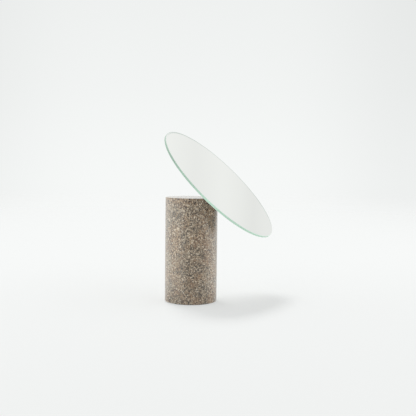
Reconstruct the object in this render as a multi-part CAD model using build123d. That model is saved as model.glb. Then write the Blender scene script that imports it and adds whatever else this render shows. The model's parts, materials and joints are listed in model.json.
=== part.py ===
from build123d import *

import os
from math import cos, radians, sin, sqrt

# Round frameless table mirror that leans at 45 degrees on the rim of a stone column.
# Millimetres. Origin at the centre of the column's underside, +Z up. The mirror faces -Y and up.

# The stone column
COLUMN_DIAMETER = 70.0
COLUMN_HEIGHT = 140.0
STONE_ARRIS = 0.8           # radius of every outer edge of the stone

# The flat cut across the front of the column's top rim, which the mirror's mount lies on
TILT_DEG = 45.0             # of the facet and the mirror, from the level
FACET_TOP_FROM_AXIS = 25.0  # from the column's axis to the facet's upper edge

# The pad under the column
PAD_DIAMETER = 64.0
PAD_THICKNESS = 1.5
PAD_RECESS = 0.7            # how deep the pad is let into the stone

# The ring magnet, its steel back plate and the bush in its bore, sunk in the facet
MAGNET_DIAMETER = 10.0
MAGNET_LENGTH = 6.0
MAGNET_BELOW_FACET = 0.2
BACK_PLATE_THICKNESS = 1.5
BUSH_DIAMETER = 5.0
PIN_DIAMETER = 3.0
PIN_CLEARANCE = 0.05        # radial, between the pin and its bush
PIN_IN_BUSH = 5.0           # how far the pin reaches below the facet
PIN_IN_KEEPER = 4.0         # how far the pin is pressed into the keeper plate
EDGE_BREAK = 0.3            # chamfer on the small metal parts

# The stack between the facet and the glass
GLIDE_DIAMETER = 38.0
GLIDE_THICKNESS = 0.5
KEEPER_DIAMETER = 42.0
KEEPER_THICKNESS = 5.0
KEEPER_CHAMFER = 0.8
BOND_DIAMETER = 40.0
BOND_THICKNESS = 1.4

# The mirror
GLASS_DIAMETER = 200.0
GLASS_THICKNESS = 3.0
GLASS_ARRIS = 0.4           # ground and polished chamfer on both edges
SILVERING_THICKNESS = 0.1
SILVERING_MARGIN = 0.6      # from the glass's edge to the coating's edge
CENTRE_SIDEWAYS = 54.0      # from the pivot to the disc's centre, along +X
CENTRE_UPHILL = 22.7        # and up the slope of the mirror

# Worked out from the above
COLUMN_RADIUS = COLUMN_DIAMETER / 2
STONE_BOTTOM = PAD_THICKNESS - PAD_RECESS
TILT = radians(TILT_DEG)
FACET_DEPTH = COLUMN_RADIUS - FACET_TOP_FROM_AXIS
PIVOT = (
    0.0,
    -FACET_TOP_FROM_AXIS - FACET_DEPTH / 2,
    COLUMN_HEIGHT - FACET_DEPTH / 2 * sin(TILT) / cos(TILT),
)
# Local Z is the facet's outward normal and the axis that the mirror turns about, and local Y
# runs up the slope.
FACET = Plane(origin=PIVOT, x_dir=(1, 0, 0), z_dir=(0, -sin(TILT), cos(TILT)))
KEEPER_BACK = GLIDE_THICKNESS
BOND_BACK = KEEPER_BACK + KEEPER_THICKNESS
SILVERING_BACK = BOND_BACK + BOND_THICKNESS
GLASS_BACK = SILVERING_BACK + SILVERING_THICKNESS
MAGNET_FRONT = -MAGNET_BELOW_FACET
MAGNET_BACK = MAGNET_FRONT - MAGNET_LENGTH
POCKET_FLOOR = MAGNET_BACK - BACK_PLATE_THICKNESS

UPWARD = (Align.CENTER, Align.CENTER, Align.MIN)


def on_facet(diameter, start, end, x=0.0, y=0.0):
    """A plain disc or rod square to the facet, between two heights above it."""
    return FACET * Pos(x, y, start) * Cylinder(diameter / 2, end - start, align=UPWARD)


def broken(solid, size, *heights):
    """The solid with the outer round edges at these heights above the facet chamfered."""
    edges = []
    for height in heights:
        level = [
            edge
            for edge in solid.edges().filter_by(GeomType.CIRCLE)
            if abs(FACET.to_local_coords(edge.arc_center).Z - height) < 1e-4
        ]
        edges.append(max(level, key=lambda edge: edge.radius))
    return chamfer(edges, size)


def stone_column():
    """A turned cylinder with one facet, a pocket for the magnet and a recess underneath."""
    blank = Pos(0, 0, STONE_BOTTOM) * Cylinder(
        COLUMN_RADIUS, COLUMN_HEIGHT - STONE_BOTTOM, align=UPWARD
    )
    corner = FACET * Box(COLUMN_DIAMETER, COLUMN_DIAMETER, COLUMN_DIAMETER, align=UPWARD)
    column = blank - corner
    seam = column.edges().filter_by(Axis.Z)
    column = fillet([edge for edge in column.edges() if edge not in seam], STONE_ARRIS)
    pocket = on_facet(MAGNET_DIAMETER, POCKET_FLOOR, GLIDE_THICKNESS)
    recess = Cylinder(PAD_DIAMETER / 2, PAD_THICKNESS, align=UPWARD)
    return column - pocket - recess


def base_pad():
    """A soft disc let into the underside, which the object stands on."""
    return Cylinder(PAD_DIAMETER / 2, PAD_THICKNESS, align=UPWARD)


def magnet_back_plate():
    """A steel disc on the pocket's floor, which closes the magnet's field."""
    return on_facet(MAGNET_DIAMETER, POCKET_FLOOR, MAGNET_BACK)


def ring_magnet():
    """The ring magnet that holds the mirror's keeper plate."""
    ring = broken(on_facet(MAGNET_DIAMETER, MAGNET_BACK, MAGNET_FRONT), EDGE_BREAK, MAGNET_FRONT)
    return ring - on_facet(BUSH_DIAMETER, MAGNET_BACK, MAGNET_FRONT)


def pivot_bush():
    """The brass bush in the magnet's bore, which the mirror's pin turns in."""
    bore = PIN_DIAMETER + 2 * PIN_CLEARANCE
    sleeve = on_facet(BUSH_DIAMETER, MAGNET_BACK, MAGNET_FRONT)
    return sleeve - on_facet(bore, MAGNET_BACK, MAGNET_FRONT)


def pivot_pin():
    """The dowel in the keeper plate, with both ends chamfered."""
    tip = -PIN_IN_BUSH
    head = KEEPER_BACK + PIN_IN_KEEPER
    return broken(on_facet(PIN_DIAMETER, tip, head), EDGE_BREAK, tip, head)


def glide_disc():
    """The thin film under the keeper plate, which slides on the facet."""
    film = on_facet(GLIDE_DIAMETER, 0, GLIDE_THICKNESS)
    return film - on_facet(PIN_DIAMETER, 0, GLIDE_THICKNESS)


def keeper_plate():
    """The steel disc on the mirror's back, which the magnet holds."""
    front = BOND_BACK
    plate = on_facet(KEEPER_DIAMETER, KEEPER_BACK, front)
    plate = broken(plate, KEEPER_CHAMFER, KEEPER_BACK, front)
    return plate - on_facet(PIN_DIAMETER, KEEPER_BACK, KEEPER_BACK + PIN_IN_KEEPER)


def bond_pad():
    """The foam tape that bonds the keeper plate to the mirror's back."""
    return on_facet(BOND_DIAMETER, BOND_BACK, SILVERING_BACK)


def silvering():
    """The silver and its back paint, a thin coat on the back of the glass."""
    diameter = GLASS_DIAMETER - 2 * SILVERING_MARGIN
    return on_facet(diameter, SILVERING_BACK, GLASS_BACK, CENTRE_SIDEWAYS, CENTRE_UPHILL)


def mirror_glass():
    """The float glass disc, with a polished arris at both faces."""
    front = GLASS_BACK + GLASS_THICKNESS
    disc = on_facet(GLASS_DIAMETER, GLASS_BACK, front, CENTRE_SIDEWAYS, CENTRE_UPHILL)
    return broken(disc, GLASS_ARRIS, GLASS_BACK, front)


PIECES = (
    stone_column,
    base_pad,
    magnet_back_plate,
    ring_magnet,
    pivot_bush,
    pivot_pin,
    glide_disc,
    keeper_plate,
    bond_pad,
    silvering,
    mirror_glass,
)

os.makedirs("parts", exist_ok=True)
for piece in PIECES:
    export_step(piece(), f"parts/{piece.__name__}.step")

reach = sqrt(CENTRE_SIDEWAYS**2 + CENTRE_UPHILL**2) + GLASS_DIAMETER / 2
lowest = PIVOT[2] - reach * sin(TILT)
print(f"pivot {PIVOT}, the glass clears the floor by {lowest:.1f} mm over the whole turn")
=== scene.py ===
"""Round frameless table mirror on a granite column: its pieces, finishes, studio and camera."""
import json
import logging
from abc import ABC, abstractmethod
from dataclasses import dataclass, field, replace
from enum import Enum
from math import cos, pi, radians, sin
from typing import Any, Callable, Iterable, Union

import bpy
from mathutils import Matrix, Vector


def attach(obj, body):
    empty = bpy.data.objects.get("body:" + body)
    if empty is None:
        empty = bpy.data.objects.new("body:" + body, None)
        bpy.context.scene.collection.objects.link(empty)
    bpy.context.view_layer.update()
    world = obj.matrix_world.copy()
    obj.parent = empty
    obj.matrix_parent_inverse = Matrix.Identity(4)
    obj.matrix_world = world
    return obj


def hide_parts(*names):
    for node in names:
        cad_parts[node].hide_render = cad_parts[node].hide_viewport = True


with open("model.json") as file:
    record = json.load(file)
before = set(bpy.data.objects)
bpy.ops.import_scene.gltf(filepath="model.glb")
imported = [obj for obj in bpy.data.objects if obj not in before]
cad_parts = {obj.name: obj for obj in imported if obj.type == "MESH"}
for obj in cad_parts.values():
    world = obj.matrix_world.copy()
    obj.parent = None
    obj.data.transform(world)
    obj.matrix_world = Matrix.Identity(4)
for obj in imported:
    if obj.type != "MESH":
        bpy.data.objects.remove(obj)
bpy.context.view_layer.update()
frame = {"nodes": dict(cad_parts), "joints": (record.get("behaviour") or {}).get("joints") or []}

LOG = logging.getLogger("table_mirror")

MM = 0.001
SHARP_DEG = 30.0    # edges that turn more than this are bevelled
SMOOTH_DEG = 35.0   # edges that turn less than this are shaded as one surface
FACING = 0.999      # the least cosine of the angle between a face's normal and a direction

Colour = tuple[float, float, float]
Stop = tuple[float, Colour]
Levels = tuple[tuple[float, float], ...]
Span = tuple[float, float]  # where something is still 0, and where it has reached 1
Node = bpy.types.Node
Socket = bpy.types.NodeSocket
Operand = Union["Value", float]
Inputs = dict[int | str, Any]


# ---- Shader building ----


class Blend(Enum):
    """The ways in which two colours are mixed."""

    MIX = "MIX"
    MULTIPLY = "MULTIPLY"


class Steps(Enum):
    """How a ramp goes from one stop to the next."""

    GRADUAL = "LINEAR"
    SUDDEN = "CONSTANT"


class Ray(Enum):
    """The kinds of ray that meet a surface."""

    CAMERA = "Is Camera Ray"
    GLOSSY = "Is Glossy Ray"
    THROUGH = "Is Transmission Ray"


@dataclass(frozen=True)
class Cloud:
    """A cloudy noise: its scale, its octaves and how strong the finer octaves are."""

    per_metre: float
    octaves: float = 2.0
    roughness: float = 0.5


@dataclass(frozen=True)
class Value:
    """One number socket of a node tree. Python arithmetic on it adds Math nodes."""

    sheet: "Sheet"
    socket: Socket

    def _math(self, operation: str, *operands: Operand) -> "Value":
        """Adds one Math node.

        Args:
            operation: The Math node's operation.
            operands: The values or numbers of its sockets, in order.

        Returns:
            The node's result.
        """
        inputs = dict(enumerate(operands))
        node = self.sheet.add("ShaderNodeMath", {"operation": operation}, inputs)
        return Value(self.sheet, node.outputs[0])

    def __add__(self, other: Operand) -> "Value":
        """Self plus other."""
        return self._math("ADD", self, other)

    def __radd__(self, other: Operand) -> "Value":
        """Other plus self."""
        return self._math("ADD", other, self)

    def __sub__(self, other: Operand) -> "Value":
        """Self minus other."""
        return self._math("SUBTRACT", self, other)

    def __rsub__(self, other: Operand) -> "Value":
        """Other minus self."""
        return self._math("SUBTRACT", other, self)

    def __mul__(self, other: Operand) -> "Value":
        """Self times other."""
        return self._math("MULTIPLY", self, other)

    def __rmul__(self, other: Operand) -> "Value":
        """Other times self."""
        return self._math("MULTIPLY", other, self)

    def __truediv__(self, other: Operand) -> "Value":
        """Self divided by other."""
        return self._math("DIVIDE", self, other)

    def __rtruediv__(self, other: Operand) -> "Value":
        """Other divided by self."""
        return self._math("DIVIDE", other, self)

    def __pow__(self, other: Operand) -> "Value":
        """Self to the power of other."""
        return self._math("POWER", self, other)

    def __rpow__(self, other: Operand) -> "Value":
        """Other to the power of self."""
        return self._math("POWER", other, self)

    def least(self, other: Operand) -> "Value":
        """The smaller of self and other."""
        return self._math("MINIMUM", self, other)

    def sine(self) -> "Value":
        """The sine of self, in radians."""
        return self._math("SINE", self)

    def smooth_step(self, low: float, high: float) -> "Value":
        """Self eased from 0 at low to 1 at high.

        Args:
            low: Where the result is 0.
            high: Where the result is 1, above or below low.

        Returns:
            The eased value.
        """
        inputs = {"Value": self, "From Min": low, "From Max": high}
        settings = {"interpolation_type": "SMOOTHSTEP"}
        node = self.sheet.add("ShaderNodeMapRange", settings, inputs)
        return Value(self.sheet, node.outputs[0])


class Sheet:
    """A node tree that is being written."""

    def __init__(self, tree: bpy.types.NodeTree) -> None:
        """Takes a node tree and empties it."""
        self.tree = tree
        tree.nodes.clear()

    def add(
        self, kind: str, settings: dict[str, Any] | None = None, inputs: Inputs | None = None
    ) -> Node:
        """Adds any node.

        Args:
            kind: The node's type, such as ShaderNodeMath.
            settings: Its own properties, and a ramp's stops and steps.
            inputs: The numbers, colours or links of its sockets, by name or place.

        Returns:
            The new node.
        """
        node = self.tree.nodes.new(kind)
        for name, setting in (settings or {}).items():
            if name == "stops":
                self._set_stops(node.color_ramp, setting)
            elif name == "steps":
                node.color_ramp.interpolation = setting.value
            else:
                setattr(node, name, setting)
        for name, given in (inputs or {}).items():
            self._feed(node.inputs[name], given)
        return node

    def _set_stops(self, ramp: bpy.types.ColorRamp, stops: Iterable[Stop]) -> None:
        """Gives a ramp its stops.

        Args:
            ramp: The ramp, which has two stops when it is new.
            stops: Pairs of place and linear colour, from the lowest place up.
        """
        stops = list(stops)
        while len(ramp.elements) < len(stops):
            ramp.elements.new(1.0)
        for element, (place, colour) in zip(ramp.elements, stops):
            element.position = place
            element.color = (*colour, 1.0)

    def _feed(self, socket: Socket, given: Any) -> None:
        """Links or sets one input socket.

        Args:
            socket: The input.
            given: A Value, an output socket, a number or a colour.
        """
        if isinstance(given, Value):
            self.tree.links.new(given.socket, socket)
        elif isinstance(given, Socket):
            self.tree.links.new(given, socket)
        elif isinstance(given, tuple) and len(given) == 3 and socket.type == "RGBA":
            socket.default_value = (*given, 1.0)
        else:
            socket.default_value = given

    def value(self, node: Node, output: int | str = 0) -> Value:
        """One output of a node, as a number to reckon with."""
        return Value(self, node.outputs[output])

    def place(self) -> Socket:
        """The point's place on the object, in metres."""
        return self.add("ShaderNodeTexCoord").outputs["Object"]

    def parts(self, vector: Socket) -> tuple[Value, Value, Value]:
        """The three numbers of a vector or colour."""
        node = self.add("ShaderNodeSeparateXYZ", inputs={"Vector": vector})
        return tuple(self.value(node, k) for k in range(3))

    def turned(self, matrix: Matrix) -> Socket:
        """The point's place in a turned and moved frame.

        Args:
            matrix: The frame's own matrix, without scale.

        Returns:
            The place as that frame sees it, in metres.
        """
        inverse = matrix.inverted()
        inputs = {
            "Vector": self.place(),
            "Location": tuple(inverse.to_translation()),
            "Rotation": tuple(inverse.to_euler("XYZ")),
        }
        return self.add("ShaderNodeMapping", {"vector_type": "POINT"}, inputs).outputs[0]

    def _noise(self, vector: Socket, cloud: Cloud) -> Node:
        """Adds a noise texture.

        Args:
            vector: The place that it is read at.
            cloud: What kind of noise it is.

        Returns:
            The noise node.
        """
        inputs = {"Scale": cloud.per_metre, "Detail": cloud.octaves, "Roughness": cloud.roughness}
        return self.add("ShaderNodeTexNoise", None, {"Vector": vector, **inputs})

    def noise(self, vector: Socket, cloud: Cloud) -> Value:
        """The level of a cloudy noise at a place, mostly from 0.3 to 0.7."""
        return self.value(self._noise(vector, cloud))

    def shift(self, vector: Socket, cloud: Cloud, amount: float) -> Socket:
        """A place pushed about by a noise.

        Args:
            vector: The place.
            cloud: The noise, read at that place.
            amount: The width of the range that it is pushed over, in metres.

        Returns:
            The pushed place.
        """
        push = self._noise(vector, cloud).outputs["Color"]
        inputs = {0: push, 1: (0.5, 0.5, 0.5)}
        centred = self.add("ShaderNodeVectorMath", {"operation": "SUBTRACT"}, inputs)
        inputs = {0: centred.outputs[0], 1: (amount, amount, amount), 2: vector}
        pushed = self.add("ShaderNodeVectorMath", {"operation": "MULTIPLY_ADD"}, inputs)
        return pushed.outputs[0]

    def cells(self, vector: Socket, per_metre: float) -> Node:
        """A pattern of grains, each with a random colour and a distance from its centre."""
        return self.add("ShaderNodeTexVoronoi", None, {"Vector": vector, "Scale": per_metre})

    def colour(self, red: Value, green: Value, blue: Value) -> Socket:
        """Three numbers as one colour."""
        return self.add("ShaderNodeCombineColor", None, {0: red, 1: green, 2: blue}).outputs[0]

    def mix(self, factor: Any, first: Any, second: Any, blend: Blend = Blend.MIX) -> Socket:
        """Mixes two colours.

        Args:
            factor: How much of the second colour shows.
            first: A colour or link.
            second: A colour or link.
            blend: How they are mixed.

        Returns:
            The mixed colour.
        """
        settings = {"data_type": "RGBA", "blend_type": blend.value}
        inputs = {0: factor, 6: first, 7: second}
        return self.add("ShaderNodeMix", settings, inputs).outputs[2]

    def ramp(self, factor: Value, stops: Iterable[Stop], steps: Steps = Steps.GRADUAL) -> Socket:
        """A colour that changes with a number.

        Args:
            factor: The number, from 0 to 1.
            stops: Pairs of place and linear colour, from the lowest place up.
            steps: How the colour goes from one stop to the next.

        Returns:
            The colour.
        """
        settings = {"steps": steps, "stops": stops}
        return self.add("ShaderNodeValToRGB", settings, {"Fac": factor}).outputs[0]

    def signed_ramp(self, number: Value, stops: Iterable[Stop]) -> Socket:
        """A colour that changes with a number from -1 to 1.

        Args:
            number: The number.
            stops: Pairs of place, from -1 to 1, and linear colour, from the lowest place up.

        Returns:
            The colour.
        """
        halved = (((place + 1) / 2, colour) for place, colour in stops)
        return self.ramp(number * 0.5 + 0.5, halved)

    def bump(self, height: Any, depth: float) -> Socket:
        """A normal roughened by a height.

        Args:
            height: The height, from 0 to 1.
            depth: What a height of 1 stands for, in metres.

        Returns:
            The bumped normal.
        """
        inputs = {"Height": height, "Distance": depth}
        return self.add("ShaderNodeBump", None, inputs).outputs[0]

    def ray(self, kind: Ray) -> Value:
        """1 for one kind of ray, else 0."""
        return self.value(self.add("ShaderNodeLightPath"), kind.value)

    def seen(self) -> Value:
        """1 for what the camera sees, straight, mirrored or through glass, else 0."""
        return (self.ray(Ray.CAMERA) + self.ray(Ray.GLOSSY) + self.ray(Ray.THROUGH)).least(1.0)

    def surface(self, **sockets: Any) -> None:
        """A Principled shader that is the material's output.

        Args:
            sockets: Its sockets by name, with underscores for spaces.
        """
        inputs = {name.replace("_", " "): given for name, given in sockets.items()}
        shader = self.add("ShaderNodeBsdfPrincipled", None, inputs)
        self.add("ShaderNodeOutputMaterial", None, {"Surface": shader.outputs[0]})

    def either(self, factor: Value, first: Node, second: Node) -> Node:
        """Lays one shader partly over another.

        Args:
            factor: How much of the second shows.
            first: A shader's node.
            second: A shader's node.

        Returns:
            The mixed shader's node.
        """
        inputs = {0: factor, 1: first.outputs[0], 2: second.outputs[0]}
        return self.add("ShaderNodeMixShader", None, inputs)


def linear(level: int) -> float:
    """The linear share of full light of one 8-bit screen level.

    Args:
        level: From 0 to 255.

    Returns:
        The share, from 0 to 1.
    """
    share = level / 255
    if share <= 0.04045:
        return share / 12.92
    return ((share + 0.055) / 1.055) ** 2.4


def srgb(red: int, green: int, blue: int) -> Colour:
    """The linear colour of an 8-bit screen colour."""
    return linear(red), linear(green), linear(blue)


def scaled(colour: Colour, share: float) -> Colour:
    """A colour made darker by a share under 1, or paler by one over 1."""
    return tuple(level * share for level in colour)


# ---- Flats and discs ----


@dataclass(frozen=True)
class Flat:
    """A frame that round pieces lie on, with Z out of it."""

    matrix: Matrix

    @classmethod
    def from_joint(cls, joint: dict[str, Any]) -> "Flat":
        """The stone's facet, with Y up its slope.

        Args:
            joint: The record's entry of the hinge that the mirror turns on.

        Returns:
            The flat through the hinge's point, square to its axis.
        """
        normal = Vector(joint["axis"]).normalized()
        side = Vector((1, 0, 0))
        rise = normal.cross(side)
        turn = Matrix((side, rise, normal)).transposed().to_4x4()
        return cls(Matrix.Translation(Vector(joint["pos_m"])) @ turn)

    @property
    def normal(self) -> Vector:
        """The unit vector out of the flat."""
        return self.matrix.to_3x3().col[2]

    def disc(self, node: str, centred: bool = False) -> "Disc":
        """Where a round CAD node lies on the flat.

        Args:
            node: The name of a node whose axis is square to the flat.
            centred: Whether its axis is the flat's own Z axis.

        Returns:
            Its centre, radius and the heights of its two faces.
        """
        inverse = self.matrix.inverted()
        points = [inverse @ vertex.co for vertex in frame["nodes"][node].data.vertices]
        lows = [min(point[k] for point in points) for k in range(3)]
        highs = [max(point[k] for point in points) for k in range(3)]
        x, y = (0.0 if centred else (lows[k] + highs[k]) / 2 for k in range(2))
        return Disc(self, x, y, (highs[0] - lows[0]) / 2, lows[2], highs[2])


@dataclass(frozen=True)
class Disc:
    """A disc or rod that lies on a flat, in metres."""

    flat: Flat
    x: float
    y: float
    radius: float
    low: float
    high: float

    @property
    def thickness(self) -> float:
        """From its lower face to its upper one."""
        return self.high - self.low

    @property
    def matrix(self) -> Matrix:
        """The frame at the middle of the disc, with Z along its axis."""
        return self.flat.matrix @ Matrix.Translation((self.x, self.y, (self.low + self.high) / 2))


FLOOR = Flat(Matrix())


# ---- Modelling ----


class Pick(Enum):
    """What is selected in edit mode."""

    POINTS = "VERT"
    EDGES = "EDGE"
    FACES = "FACE"


@dataclass
class Bench:
    """Where one piece is shaped: it starts as a round blank and ends as a finished mesh."""

    name: str
    piece: bpy.types.Object = field(init=False)

    def blank(self, disc: Disc, sides: int) -> "Bench":
        """Starts the piece as a plain round blank.

        Args:
            disc: Its size and place.
            sides: How many sides go round it.

        Returns:
            The bench, with the blank on it.
        """
        bpy.ops.object.select_all(action="DESELECT")
        bpy.ops.mesh.primitive_cylinder_add(
            vertices=sides, radius=disc.radius, depth=disc.thickness,
            location=disc.matrix.to_translation(), rotation=disc.matrix.to_euler(),
        )
        self.piece = bpy.context.view_layer.objects.active
        self.piece.name = self.piece.data.name = self.name
        bpy.ops.object.transform_apply(location=True, rotation=True, scale=True)
        return self

    def choose(self) -> None:
        """Selects the piece and nothing else."""
        bpy.ops.object.select_all(action="DESELECT")
        bpy.context.view_layer.objects.active = self.piece
        self.piece.select_set(True)

    def edit(self, pick: Pick) -> None:
        """Goes into edit mode with nothing selected.

        Args:
            pick: What is selected there.
        """
        bpy.context.view_layer.objects.active = self.piece
        bpy.ops.object.mode_set(mode="EDIT")
        bpy.ops.mesh.select_mode(type=pick.value)
        bpy.ops.mesh.select_all(action="DESELECT")

    def done(self) -> None:
        """Leaves edit mode."""
        bpy.ops.object.mode_set(mode="OBJECT")

    def pick_face(self, towards: Vector) -> None:
        """Selects the largest face that looks one way.

        Args:
            towards: The direction.
        """
        bpy.ops.object.mode_set(mode="OBJECT")
        facing = [f for f in self.piece.data.polygons if f.normal.dot(towards) > FACING]
        max(facing, key=lambda f: f.area).select = True
        bpy.ops.object.mode_set(mode="EDIT")

    def soften(self, width: float, segments: int) -> None:
        """Bevels every sharp edge of the piece.

        Args:
            width: How far the bevel reaches along each face.
            segments: 1 for a flat chamfer, and more for a round edge.
        """
        self.edit(Pick.EDGES)
        bpy.ops.mesh.edges_select_sharp(sharpness=radians(SHARP_DEG))
        bpy.ops.mesh.bevel(offset=width, segments=segments, profile=0.5, affect="EDGES")
        self.done()

    def cut(self, point: Vector, normal: Vector) -> None:
        """Cuts away what lies beyond a plane and closes the cut.

        Args:
            point: A point on the plane.
            normal: Points to what goes.
        """
        self.edit(Pick.POINTS)
        bpy.ops.mesh.select_all(action="SELECT")
        bpy.ops.mesh.bisect(
            plane_co=point, plane_no=normal, use_fill=True, clear_outer=True, clear_inner=False
        )
        self.done()

    def sink(self, towards: Vector, margin: float, depth: float) -> None:
        """Lets a recess into the face that looks one way.

        Args:
            towards: The way that the face looks.
            margin: From the face's edge to the recess.
            depth: How deep the recess is.
        """
        self.edit(Pick.FACES)
        self.pick_face(towards)
        bpy.ops.mesh.inset(thickness=margin, depth=0.0)
        bpy.ops.mesh.inset(thickness=0.0, depth=-depth)
        self.done()

    def drill(self, hole: Disc, low: float, high: float, sides: int = 96) -> None:
        """Drills a round hole with a Boolean modifier.

        Args:
            hole: Its place and radius.
            low: The height of its floor above the flat.
            high: The height that the drill starts at.
            sides: How many sides go round the hole.
        """
        drill = Bench(f"{self.name}_drill").blank(replace(hole, low=low, high=high), sides).piece
        self.modify("BOOLEAN", operation="DIFFERENCE", object=drill, solver="EXACT")
        bpy.data.objects.remove(drill)

    def modify(self, kind: str, **settings: Any) -> None:
        """Adds a modifier and applies it.

        Args:
            kind: The modifier's type.
            settings: Its properties.
        """
        self.choose()
        modifier = self.piece.modifiers.new(kind.lower(), kind)
        for name, setting in settings.items():
            setattr(modifier, name, setting)
        bpy.ops.object.modifier_apply(modifier=modifier.name)

    def dress(self, *finishes: "Finish") -> None:
        """Puts finishes on the piece.

        Args:
            finishes: The first is on every face until others are painted over it.
        """
        for finish in finishes:
            self.piece.data.materials.append(finish.material())

    def paint(self, slot: int, chosen: Callable[[bpy.types.MeshPolygon], bool]) -> None:
        """Gives some faces another of the piece's finishes.

        Args:
            slot: Which finish, counted from 0.
            chosen: Says whether a face gets it.
        """
        for polygon in self.piece.data.polygons:
            if chosen(polygon):
                polygon.material_index = slot

    def finish(self, body: str, slot: str, *nodes: str) -> None:
        """Smooths the piece and hands it over to its body.

        Args:
            body: The CAD body that it rides on.
            slot: The record's material slot; not used.
            nodes: The CAD nodes that it stands for.
        """
        self.choose()
        bpy.ops.object.shade_smooth_by_angle(angle=radians(SMOOTH_DEG))
        self.modify("WEIGHTED_NORMAL", keep_sharp=True)
        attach(self.piece, body)
        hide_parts(*nodes)
        LOG.info("%s: %d faces on %s", self.name, len(self.piece.data.polygons), body)


# ---- Finishes ----


@dataclass(frozen=True, kw_only=True)
class Finish(ABC):
    """What a surface is finished in."""

    name: str

    def material(self) -> bpy.types.Material:
        """Makes the finish's material.

        Returns:
            The material, with its nodes written.
        """
        material = bpy.data.materials.new(self.name)
        material.use_nodes = True
        self.write(Sheet(material.node_tree))
        return material

    @abstractmethod
    def write(self, sheet: Sheet) -> None:
        """Writes the finish's nodes into an empty node tree."""


@dataclass(frozen=True, kw_only=True)
class Granite(Finish):
    """Fine-grained granite, honed and polished."""

    name: str = "polished_granite"
    coarse_per_metre: float = 660.0
    fine_per_metre: float = 1600.0
    wobble: Cloud = Cloud(528.0, 1.0)  # bends the grains' straight edges
    wander: float = 0.7 * MM  # and by how much
    warm_minerals: tuple[Stop, ...] = (
        (0.00, srgb(54, 43, 36)), (0.10, srgb(118, 86, 64)), (0.24, srgb(158, 130, 104)),
        (0.54, srgb(184, 164, 139)), (0.78, srgb(128, 109, 90)), (0.91, srgb(228, 217, 200)),
    )
    cool_minerals: tuple[Stop, ...] = (
        (0.00, srgb(52, 47, 42)), (0.12, srgb(104, 94, 83)), (0.32, srgb(148, 132, 112)),
        (0.58, srgb(174, 158, 137)), (0.80, srgb(118, 92, 72)), (0.91, srgb(220, 211, 197)),
    )
    veins: Cloud = Cloud(55.0, 3.0, 0.6)  # where the cool minerals lie
    cool_veins: Span = (0.40, 0.62)
    fine_share: float = 0.38  # of a grain's mineral
    minerals: Span = (0.08, 0.92)
    darkest: float = 0.40  # the least share of a mineral's colour
    coarse_shade: float = 0.43
    fine_shade: float = 0.40
    warmth: Colour = (1.0, 0.975, 0.905)
    roughness: float = 0.30
    coarse_roughness: float = 0.10
    fine_roughness: float = 0.06
    grit: Cloud = Cloud(4200.0, 2.0)
    mineral_relief: float = 0.25  # as a share of the relief
    relief: float = 0.012 * MM
    refraction: float = 1.54
    polish: float = 0.95
    polish_roughness: float = 0.08
    polish_refraction: float = 1.5

    def write(self, sheet: Sheet) -> None:
        """Writes the stone's grains, veins, gloss and relief.

        Args:
            sheet: The material's empty node tree.
        """
        place = sheet.place()
        grains_at = sheet.shift(place, self.wobble, self.wander)
        coarse = sheet.cells(grains_at, self.coarse_per_metre)
        fine = sheet.cells(grains_at, self.fine_per_metre)
        kind, tone, _ = sheet.parts(coarse.outputs["Color"])
        fine_kind, fine_tone, _ = sheet.parts(fine.outputs["Color"])
        mineral = kind * (1 - self.fine_share) + fine_kind * self.fine_share
        spread = mineral.smooth_step(*self.minerals)
        warm = sheet.ramp(spread, self.warm_minerals, Steps.SUDDEN)
        cool = sheet.ramp(spread, self.cool_minerals, Steps.SUDDEN)
        coolness = sheet.noise(place, self.veins).smooth_step(*self.cool_veins)
        grain = sheet.mix(coolness, warm, cool)
        shade = self.darkest + tone * self.coarse_shade + fine_tone * self.fine_shade
        levels = sheet.colour(*(shade * level for level in self.warmth))
        rounded = sheet.value(coarse, "Distance") + sheet.noise(place, self.grit)
        height = rounded * 0.5 + (1 - spread) * self.mineral_relief
        rough = kind * self.coarse_roughness + fine_tone * self.fine_roughness
        sheet.surface(
            Base_Color=sheet.mix(1.0, grain, levels, Blend.MULTIPLY),
            Roughness=self.roughness + rough,
            IOR=self.refraction,
            Coat_Weight=self.polish,
            Coat_Roughness=self.polish_roughness,
            Coat_IOR=self.polish_refraction,
            Normal=sheet.bump(height, self.relief),
        )


@dataclass(frozen=True, kw_only=True)
class SilveredGlass(Finish):
    """The mirror's face: silver seen through clear float glass, with a painted reflection of its
    rim inside the glass.
    """

    name: str = "silvered_glass"
    disc: Disc
    tint: Colour = (0.915, 0.930, 0.920)
    paler: float = 1.012  # the tint's palest drifts
    drift: Cloud = Cloud(9.0, 1.0)
    haze: Cloud = Cloud(60.0, 3.0)
    roughness: float = 0.012
    haze_roughness: float = 0.012
    glass_refraction: float = 1.52
    # painted reflection: the rim's colour, shown through the face along part of its edge
    rim: Colour = srgb(150, 170, 160)
    rim_width: float = 3.0 * MM
    rim_softness: float = 0.5 * MM
    rim_towards: tuple[float, float] = (0.9, 0.45)  # along X and uphill
    rim_starts: Span = (-0.1, 0.6)  # along that way, in radii

    def write(self, sheet: Sheet) -> None:
        """Writes a faint unevenness into a clear reflection, and a painted reflection of the far
        rim as a line along the edge towards X and uphill.

        Args:
            sheet: The material's empty node tree.
        """
        local = sheet.turned(self.disc.matrix)
        across, up, _ = sheet.parts(local)
        radius = (across * across + up * up) ** 0.5
        inside = self.disc.radius - self.rim_width
        sideways, uphill = self.rim_towards
        reach = (across * sideways + up * uphill) / self.disc.radius
        ring = radius.smooth_step(inside, inside + self.rim_softness)
        # painted reflection of the rim inside the glass, near the edge and only on the side
        # towards X and uphill
        painted_rim_reflection = ring * reach.smooth_step(*self.rim_starts)
        drift = sheet.noise(local, self.drift)
        silver = sheet.mix(drift, self.tint, scaled(self.tint, self.paler))
        haze = sheet.noise(local, self.haze)
        sheet.surface(
            Base_Color=sheet.mix(painted_rim_reflection, silver, self.rim),
            Metallic=1 - painted_rim_reflection,
            Roughness=self.roughness + haze * self.haze_roughness,
            Coat_Weight=1.0,
            Coat_Roughness=0.0,
            Coat_IOR=self.glass_refraction,
        )


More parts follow.
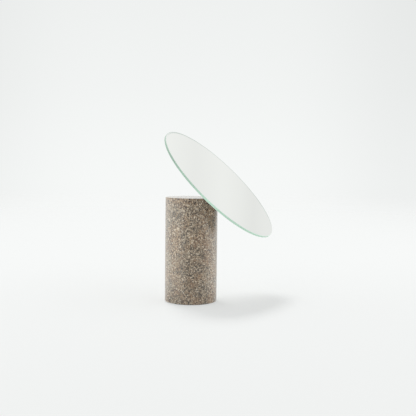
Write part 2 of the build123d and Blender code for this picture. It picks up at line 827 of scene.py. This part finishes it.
@dataclass(frozen=True, kw_only=True)
class PolishedEdge(Finish):
    """The ground and polished rim of green float glass."""

    name: str = "polished_glass_edge"
    disc: Disc
    core: Colour = srgb(174, 203, 185)
    skin: Colour = srgb(200, 219, 208)
    core_depth: Span = (0.15, 0.9)  # 0 at the faces and 1 half-way between them
    cast: Colour = srgb(166, 199, 179)
    cast_share: float = 0.35
    drift: Cloud = Cloud(40.0, 2.0)
    # painted light and shade: paler down the slope, palest just below the middle, and darker up
    # it, where the lamp lights the rim
    painted_light_uphill: Levels = (
        (-1.00, 1.18), (-0.50, 1.16), (-0.26, 1.34), (0.00, 1.02), (0.26, 1.02),
        (0.45, 0.86), (1.00, 0.82),
    )
    streaks: Cloud = Cloud(900.0, 3.0, 0.6)
    streak_relief: float = 0.004 * MM
    roughness: float = 0.16
    streak_roughness: float = 0.14
    refraction: float = 1.45
    specular: float = 0.3

    def write(self, sheet: Sheet) -> None:
        """Writes a darker core between two paler skins, fine grinding streaks, and painted light
        and shade along the slope.

        Args:
            sheet: The material's empty node tree.
        """
        local = sheet.turned(self.disc.matrix)
        _, up, height = sheet.parts(local)
        depth = height / self.disc.thickness + 0.5
        core = (depth * (1 - depth) * 4).smooth_step(*self.core_depth)
        streaks = sheet.noise(local, self.streaks)
        drift = sheet.noise(local, self.drift) * self.cast_share
        green = sheet.mix(drift, sheet.mix(core, self.skin, self.core), self.cast)
        # painted light and shade along the slope, multiplied into the green
        tones = ((place, (tone, tone, tone)) for place, tone in self.painted_light_uphill)
        along = sheet.signed_ramp(up / self.disc.radius, tones)
        sheet.surface(
            Base_Color=sheet.mix(1.0, green, along, Blend.MULTIPLY),
            Roughness=self.roughness + streaks * self.streak_roughness,
            IOR=self.refraction,
            Specular_IOR_Level=self.specular,
            Normal=sheet.bump(streaks, self.streak_relief),
        )


@dataclass(frozen=True, kw_only=True)
class BackPaint(Finish):
    """The grey paint over the silver, rolled on."""

    name: str = "mirror_back_paint"
    colour: Colour = srgb(206, 207, 203)
    thin: Colour = srgb(199, 200, 197)
    body: Cloud = Cloud(22.0, 3.0, 0.55)
    thin_parts: Span = (0.35, 0.7)
    stipple: Cloud = Cloud(1400.0, 3.0, 0.6)
    stipple_relief: float = 0.02 * MM
    roughness: float = 0.42
    stipple_roughness: float = 0.2

    def write(self, sheet: Sheet) -> None:
        """Writes the roller's fine stipple and the paint's uneven body.

        Args:
            sheet: The material's empty node tree.
        """
        place = sheet.place()
        stipple = sheet.noise(place, self.stipple)
        thin = sheet.noise(place, self.body).smooth_step(*self.thin_parts)
        sheet.surface(
            Base_Color=sheet.mix(thin, self.colour, self.thin),
            Roughness=self.roughness + stipple * self.stipple_roughness,
            Normal=sheet.bump(stipple, self.stipple_relief),
        )


@dataclass(frozen=True, kw_only=True)
class TurnedSteel(Finish):
    """Steel faced on a lathe, with fine rings about the disc's axis."""

    name: str = "turned_steel"
    disc: Disc
    colour: Colour = (0.56, 0.565, 0.57)
    ring_pitch: float = 0.25 * MM
    ring_relief: float = 0.003 * MM
    waver: Cloud = Cloud(300.0, 2.0)
    waver_radians: float = 2.5
    stain: Cloud = Cloud(130.0, 4.0, 0.6)
    stained: Span = (0.45, 0.8)
    stain_tone: float = 0.78
    roughness: float = 0.26
    ring_roughness: float = 0.08
    stain_roughness: float = 0.1

    def write(self, sheet: Sheet) -> None:
        """Writes the lathe's rings and the metal's slight stain.

        Args:
            sheet: The material's empty node tree.
        """
        local = sheet.turned(self.disc.matrix)
        across, up, _ = sheet.parts(local)
        radius = (across * across + up * up) ** 0.5
        waver = sheet.noise(local, self.waver) * self.waver_radians
        rings = (radius * (2 * pi / self.ring_pitch) + waver).sine() * 0.5 + 0.5
        stain = sheet.noise(local, self.stain)
        darker = scaled(self.colour, self.stain_tone)
        rough = rings * self.ring_roughness + stain * self.stain_roughness
        sheet.surface(
            Base_Color=sheet.mix(stain.smooth_step(*self.stained), self.colour, darker),
            Metallic=1.0,
            Roughness=self.roughness + rough,
            Normal=sheet.bump(rings, self.ring_relief),
        )


@dataclass(frozen=True, kw_only=True)
class PlainMetal(Finish):
    """A small metal part, ground or plated."""

    colour: Colour
    roughness: float
    scuffs: Cloud = Cloud(1800.0, 3.0, 0.65)
    scuff_roughness: float = 0.12
    scuff_relief: float = 0.004 * MM
    tarnish: Cloud = Cloud(260.0, 3.0)
    tarnished: Span = (0.5, 0.8)
    tarnish_tone: float = 0.72

    def write(self, sheet: Sheet) -> None:
        """Writes fine scuffs over the plain metal.

        Args:
            sheet: The material's empty node tree.
        """
        place = sheet.place()
        scuffs = sheet.noise(place, self.scuffs)
        tarnish = sheet.noise(place, self.tarnish).smooth_step(*self.tarnished)
        darker = scaled(self.colour, self.tarnish_tone)
        sheet.surface(
            Base_Color=sheet.mix(tarnish, self.colour, darker),
            Metallic=1.0,
            Roughness=self.roughness + scuffs * self.scuff_roughness,
            Normal=sheet.bump(scuffs, self.scuff_relief),
        )


@dataclass(frozen=True, kw_only=True)
class Elastomer(Finish):
    """Rubber, foam or plastic film with a fine cellular grain."""

    colour: Colour
    worn_colour: Colour
    cells_per_metre: float
    relief: float
    roughness: float
    cell_roughness: float = 0.12
    wear: Cloud = Cloud(90.0, 4.0, 0.6)
    worn: Span = (0.45, 0.8)

    def write(self, sheet: Sheet) -> None:
        """Writes the cells and a little wear.

        Args:
            sheet: The material's empty node tree.
        """
        place = sheet.place()
        cells = sheet.value(sheet.cells(place, self.cells_per_metre), "Distance")
        wear = sheet.noise(place, self.wear).smooth_step(*self.worn)
        sheet.surface(
            Base_Color=sheet.mix(wear, self.colour, self.worn_colour),
            Roughness=self.roughness + cells * self.cell_roughness,
            Normal=sheet.bump(cells, self.relief),
        )


BLACK_RUBBER = Elastomer(
    name="black_rubber", colour=srgb(46, 45, 44), worn_colour=srgb(66, 64, 62),
    cells_per_metre=900.0, relief=0.05 * MM, roughness=0.62,
)
FOAM_TAPE = Elastomer(
    name="grey_foam_tape", colour=srgb(70, 71, 73), worn_colour=srgb(88, 89, 91),
    cells_per_metre=2600.0, relief=0.06 * MM, roughness=0.7,
)
SLIPPERY_FILM = Elastomer(
    name="slippery_film", colour=srgb(226, 225, 219), worn_colour=srgb(214, 212, 204),
    cells_per_metre=1800.0, relief=0.01 * MM, roughness=0.34,
)
ZINC_PLATE = PlainMetal(name="zinc_plate", colour=(0.50, 0.51, 0.53), roughness=0.32)
NICKEL_PLATE = PlainMetal(name="nickel_plate", colour=(0.66, 0.63, 0.58), roughness=0.14)
BRASS = PlainMetal(name="machined_brass", colour=(0.74, 0.53, 0.25), roughness=0.24)
PIN_STEEL = PlainMetal(name="ground_pin_steel", colour=(0.60, 0.60, 0.61), roughness=0.18)


# ---- The object ----


@dataclass
class StoneColumn:
    """The granite column with its pad and the magnetic pivot sunk in its facet."""

    facet: Flat
    arris: float = 0.8 * MM  # radius of the stone's outer edges
    arris_segments: int = 5
    sides: int = 256
    pad_rounding: float = 0.25 * MM
    pad_segments: int = 3
    pad_sides: int = 160
    drill_start: float = 2.0 * MM  # above the facet

    def build(self) -> None:
        """Models the column and its pad, and dresses the parts in the pocket."""
        self.build_stone()
        self.build_pad()
        dress_node("magnet_back_plate", ZINC_PLATE)
        dress_node("ring_magnet", NICKEL_PLATE)
        dress_node("pivot_bush", BRASS)

    def build_stone(self) -> None:
        """Turns the column, cuts its facet, softens its edges and hollows it."""
        stone = FLOOR.disc("stone_column", centred=True)
        pad = FLOOR.disc("base_pad", centred=True)
        pocket = self.facet.disc("magnet_back_plate", centred=True)
        bench = Bench("granite_column").blank(stone, self.sides)
        bench.cut(self.facet.matrix.to_translation(), self.facet.normal)
        bench.soften(self.arris, self.arris_segments)
        margin = stone.radius - self.arris - pad.radius
        bench.sink(-FLOOR.normal, margin, pad.high - stone.low)
        bench.drill(pocket, pocket.low, self.drill_start)
        bench.dress(Granite())
        bench.finish("column", "granite", "stone_column")

    def build_pad(self) -> None:
        """Cuts the rubber pad and rounds its edges."""
        disc = FLOOR.disc("base_pad", centred=True)
        bench = Bench("rubber_base_pad").blank(disc, self.pad_sides)
        bench.soften(self.pad_rounding, self.pad_segments)
        bench.dress(BLACK_RUBBER)
        bench.finish("column", "pad", "base_pad")


@dataclass
class MirrorDisc:
    """The glass disc with its silvering and the steel plate on its back."""

    facet: Flat
    glass_arris: float = 0.4 * MM
    glass_sides: int = 384
    silvering_rounding: float = 0.03 * MM
    keeper_chamfer: float = 0.8 * MM
    keeper_sides: int = 192
    bond_swell: float = 0.3 * MM
    glide_rounding: float = 0.1 * MM
    pad_sides: int = 160
    overrun: float = 1.0 * MM  # of the drill, past the faces it pierces

    def build(self) -> None:
        """Models every piece that turns with the mirror, and dresses its pin."""
        self.build_glass()
        self.build_silvering()
        self.build_keeper()
        self.build_bond()
        self.build_glide()
        dress_node("pivot_pin", PIN_STEEL)

    def build_glass(self) -> None:
        """Cuts the disc, grinds its arrises and silvers its face."""
        disc = self.facet.disc("mirror_glass")
        bench = Bench("mirror_glass_disc").blank(disc, self.glass_sides)
        bench.soften(self.glass_arris, 1)
        bench.dress(PolishedEdge(disc=disc), SilveredGlass(disc=disc))
        bench.paint(1, lambda face: face.normal.dot(self.facet.normal) > FACING)
        bench.finish("mirror", "glass", "mirror_glass")

    def build_silvering(self) -> None:
        """Coats the back of the glass."""
        disc = self.facet.disc("silvering")
        bench = Bench("silver_and_paint").blank(disc, self.glass_sides)
        bench.soften(self.silvering_rounding, 2)
        bench.dress(BackPaint())
        bench.finish("mirror", "silver", "silvering")

    def build_keeper(self) -> None:
        """Turns the steel plate, chamfers it and drills it for the pin."""
        disc = self.facet.disc("keeper_plate")
        pin = self.facet.disc("pivot_pin", centred=True)
        bench = Bench("steel_keeper_plate").blank(disc, self.keeper_sides)
        bench.soften(self.keeper_chamfer, 1)
        bench.drill(pin, disc.low - self.overrun, pin.high)
        bench.dress(TurnedSteel(disc=disc))
        bench.finish("mirror", "steel", "keeper_plate")

    def build_bond(self) -> None:
        """Cuts the foam tape and rounds its edge, as it swells between plate and glass."""
        bench = Bench("foam_bond_pad").blank(self.facet.disc("bond_pad"), self.pad_sides)
        bench.soften(self.bond_swell, 3)
        bench.dress(FOAM_TAPE)
        bench.finish("mirror", "tape", "bond_pad")

    def build_glide(self) -> None:
        """Cuts the slippery film and punches its hole for the pin."""
        disc = self.facet.disc("glide_disc")
        bench = Bench("glide_film").blank(disc, self.pad_sides)
        bench.soften(self.glide_rounding, 2)
        pin = self.facet.disc("pivot_pin", centred=True)
        bench.drill(pin, disc.low - self.overrun, disc.high + self.overrun)
        bench.dress(SLIPPERY_FILM)
        bench.finish("mirror", "glide", "glide_disc")


def dress_node(node: str, finish: Finish) -> None:
    """Gives a CAD node that keeps its own shape its material.

    Args:
        node: The CAD node.
        finish: What it is made of.
    """
    piece = frame["nodes"][node]
    piece.data.materials.clear()
    piece.data.materials.append(finish.material())
    LOG.info("%s keeps its own shape, in %s", node, finish.name)


# ---- Camera and studio ----


@dataclass(frozen=True)
class View:
    """The camera's place, turn and lens."""

    place: tuple[float, float, float] = (-0.9938, -0.3965, 0.1964)
    heading_deg: float = -69.43  # turned from +Y about +Z
    pitch_deg: float = -3.78
    roll_deg: float = 0.65
    frame_pixels: int = 416
    focal_pixels: float = 800.0
    sensor_mm: float = 36.0
    clip_end: float = 50.0

    def level(self, azimuth_deg: float) -> Vector:
        """The level direction at an azimuth from the camera's right, 90 for straight ahead."""
        azimuth = radians(azimuth_deg + self.heading_deg)
        return Vector((cos(azimuth), sin(azimuth), 0))

    def build(self) -> None:
        """Sets up the camera."""
        data = bpy.data.cameras.new("photo_camera")
        data.sensor_width = self.sensor_mm
        data.lens = self.focal_pixels / self.frame_pixels * self.sensor_mm
        data.clip_end = self.clip_end
        camera = bpy.data.objects.new("photo_camera", data)
        bpy.context.scene.collection.objects.link(camera)
        heading = Matrix.Rotation(radians(self.heading_deg), 4, "Z")
        pitch = Matrix.Rotation(radians(90 + self.pitch_deg), 4, "X")
        roll = Matrix.Rotation(radians(self.roll_deg), 4, "Z")
        camera.matrix_world = Matrix.Translation(self.place) @ heading @ pitch @ roll
        bpy.context.scene.camera = camera


@dataclass(frozen=True, kw_only=True)
class PaleFloor(Finish):
    """A matt floor that shows a plain tone of its own and thins out far away."""

    name: str = "pale_floor"
    back: Vector
    right: Vector
    colour: Colour = (0.88, 0.89, 0.885)
    near_tone: Colour = srgb(221, 223, 222)
    far_tone: Colour = srgb(237, 239, 238)
    paling: Span = (-0.9, 0.5)  # metres behind the object
    paling_slant: float = 0.25  # how much of it runs to the left
    own_light: float = 0.60
    thinning: Span = (0.5, 3.2)  # metres from the object
    gloss_thinning: Span = (0.04, 0.20)  # the same, for what polished faces show

    def write(self, sheet: Sheet) -> None:
        """Writes the floor's matt face, its own tone and where it thins out.

        Args:
            sheet: The material's empty node tree.
        """
        across, along, _ = sheet.parts(sheet.place())
        distance = (across * across + along * along) ** 0.5
        near_thin = sheet.ray(Ray.GLOSSY) * distance.smooth_step(*self.gloss_thinning)
        thin = (distance.smooth_step(*self.thinning) + near_thin).least(1.0)
        slant = self.back - self.right * self.paling_slant
        pale = (across * slant.x + along * slant.y).smooth_step(*self.paling)
        tone = sheet.mix(pale, self.near_tone, self.far_tone)
        matt = sheet.add("ShaderNodeBsdfDiffuse", None, {"Color": self.colour})
        glow = sheet.add("ShaderNodeEmission", None, {"Color": tone})
        clear = sheet.add("ShaderNodeBsdfTransparent")
        seen = sheet.seen()
        lit = sheet.either(seen * self.own_light, matt, glow)
        whole = sheet.either(thin * seen, lit, clear)
        sheet.add("ShaderNodeOutputMaterial", None, {"Surface": whole.outputs[0]})


@dataclass(frozen=True)
class Gaze:
    """A direction into the room, as numbers from -1 to 1."""

    right: Value
    back: Value
    up: Value


@dataclass(frozen=True)
class Opening:
    """A bright opening in the room's walls, such as a window."""

    right: float
    back: float
    width: Span
    colour: Colour

    def share(self, gaze: Gaze) -> Value:
        """How much of the opening a direction looks into, from 0 to 1."""
        return (gaze.right * self.right + gaze.back * self.back).smooth_step(*self.width)


@dataclass(frozen=True)
class Room:
    """A plain backdrop for the camera, banded walls for gloss, and a soft fill for the rest."""

    view: View
    backdrop: tuple[tuple[float, int], ...] = (
        (-1.00, 246), (-0.03, 246), (0.01, 245), (0.08, 242), (0.19, 239), (1.00, 234),
    )
    centre: float = -0.03  # of the backdrop, towards the right
    sides: Span = (0.005, 0.075)  # the square of how far a side lies from the centre
    side_shade: float = 0.07
    walls: Levels = (
        (-1.00, 0.90), (0.00, 0.90), (0.07, 0.88), (0.20, 0.87), (0.265, 0.830),
        (0.280, 0.838), (0.298, 0.806), (0.313, 0.850), (0.333, 0.886), (0.366, 0.844),
        (0.390, 0.880), (0.420, 0.930), (0.60, 0.94), (0.85, 0.93), (1.00, 0.88),
    )
    wall_tint: Colour = (1.0, 1.006, 0.982)
    front: Span = (0.1, -0.9)
    front_shade: float = 0.38
    openings: tuple[Opening, ...] = (
        Opening(-0.985, -0.17, (0.35, 0.95), (1.85, 1.90, 1.82)),
        Opening(0.97, 0.17, (0.72, 1.0), (1.55, 1.58, 1.52)),
    )
    opening_height: Span = (0.20, 0.05)  # where they end, and where they are full
    fill: float = 0.50
    side_fills: tuple[tuple[Span, float], ...] = (((-0.1, -0.95), 0.65), ((0.1, 1.0), 0.75))

    def build(self) -> None:
        """Makes the room the scene's world."""
        world = bpy.data.worlds.new("pale_room")
        world.use_nodes = True
        bpy.context.scene.world = world
        sheet = Sheet(world.node_tree)
        x, y, up = sheet.parts(sheet.add("ShaderNodeTexCoord").outputs["Generated"])
        right, back = self.view.level(0), self.view.level(90)
        gaze = Gaze(x * right.x + y * right.y, x * back.x + y * back.y, up)
        lit = sheet.mix(sheet.seen(), self.filled(sheet, gaze), self.walled(sheet, gaze))
        colour = sheet.mix(sheet.ray(Ray.CAMERA), lit, self.plain(sheet, gaze))
        light = sheet.add("ShaderNodeBackground", None, {"Color": colour})
        sheet.add("ShaderNodeOutputWorld", None, {"Surface": light.outputs[0]})

    def plain(self, sheet: Sheet, gaze: Gaze) -> Socket:
        """The backdrop that the camera sees.

        Args:
            sheet: The world's node tree.
            gaze: The direction that is looked in.

        Returns:
            Its colour.
        """
        tones = ((up, srgb(level, level + 2, level + 1)) for up, level in self.backdrop)
        aside = gaze.right - self.centre
        shade = (aside * aside).smooth_step(*self.sides) * self.side_shade
        return sheet.mix(shade, sheet.signed_ramp(gaze.up, tones), (0.0, 0.0, 0.0))

    def walled(self, sheet: Sheet, gaze: Gaze) -> Socket:
        """The walls and openings that gloss shows.

        Args:
            sheet: The world's node tree.
            gaze: The direction that is looked in.

        Returns:
            Their colour.
        """
        tones = ((up, scaled(self.wall_tint, level)) for up, level in self.walls)
        shade = gaze.back.smooth_step(*self.front) * self.front_shade
        walls = sheet.mix(shade, sheet.signed_ramp(gaze.up, tones), (0.0, 0.0, 0.0))
        low_down = gaze.up.smooth_step(*self.opening_height)
        for opening in self.openings:
            walls = sheet.mix(opening.share(gaze) * low_down, walls, opening.colour)
        return walls

    def filled(self, sheet: Sheet, gaze: Gaze) -> Socket:
        """The soft light that matt faces take in.

        Args:
            sheet: The world's node tree.
            gaze: The direction that it comes from.

        Returns:
            Its colour.
        """
        level = self.fill
        for side, glow in self.side_fills:
            level = level + gaze.right.smooth_step(*side) * glow
        return sheet.colour(level, level, level)


@dataclass(frozen=True)
class Lamp:
    """One round soft lamp far away."""

    name: str = "broad_lamp"
    azimuth_deg: float = 113.0  # from the camera's right
    elevation_deg: float = 60.0
    share: float = 0.45  # of a level floor's full light
    width_deg: float = 20.0  # as it looks from the object
    distance: float = 3.0

    def build(self, view: View) -> None:
        """Hangs the lamp.

        Args:
            view: The camera that its azimuth is counted from.
        """
        elevation = radians(self.elevation_deg)
        towards = view.level(self.azimuth_deg) * cos(elevation) + Vector((0, 0, sin(elevation)))
        data = bpy.data.lights.new(self.name, "SUN")
        data.angle = radians(self.width_deg)
        data.energy = self.share * pi / towards.z
        lamp = bpy.data.objects.new(self.name, data)
        bpy.context.scene.collection.objects.link(lamp)
        lamp.location = towards * self.distance
        lamp.rotation_euler = towards.to_track_quat("Z", "Y").to_euler()
        lamp.visible_glossy = False


@dataclass(frozen=True)
class Studio:
    """A pale floor that fades into a pale room, and one broad lamp above and behind."""

    view: View
    floor_radius: float = 7.0
    floor_sides: int = 96

    def build(self) -> None:
        """Makes the floor, the room and the lamp."""
        self.build_floor()
        Room(self.view).build()
        Lamp().build(self.view)

    def build_floor(self) -> None:
        """Lays the floor and marks it as the stage."""
        bpy.ops.object.select_all(action="DESELECT")
        bpy.ops.mesh.primitive_circle_add(
            vertices=self.floor_sides, radius=self.floor_radius, fill_type="NGON"
        )
        floor = bpy.context.view_layer.objects.active
        floor.name = "studio_floor"
        finish = PaleFloor(back=self.view.level(90), right=self.view.level(0))
        floor.data.materials.append(finish.material())


def main() -> None:
    """Builds the camera, the studio and every piece of the object."""
    logging.basicConfig(level=logging.INFO, format="%(message)s")
    bpy.context.scene.view_settings.view_transform = "Standard"
    view = View()
    view.build()
    Studio(view).build()
    facet = Flat.from_joint(frame["joints"][0])
    for assembly in (StoneColumn(facet), MirrorDisc(facet)):
        assembly.build()
        LOG.info("%s is built", type(assembly).__name__)


if __name__ == "__main__":
    main()
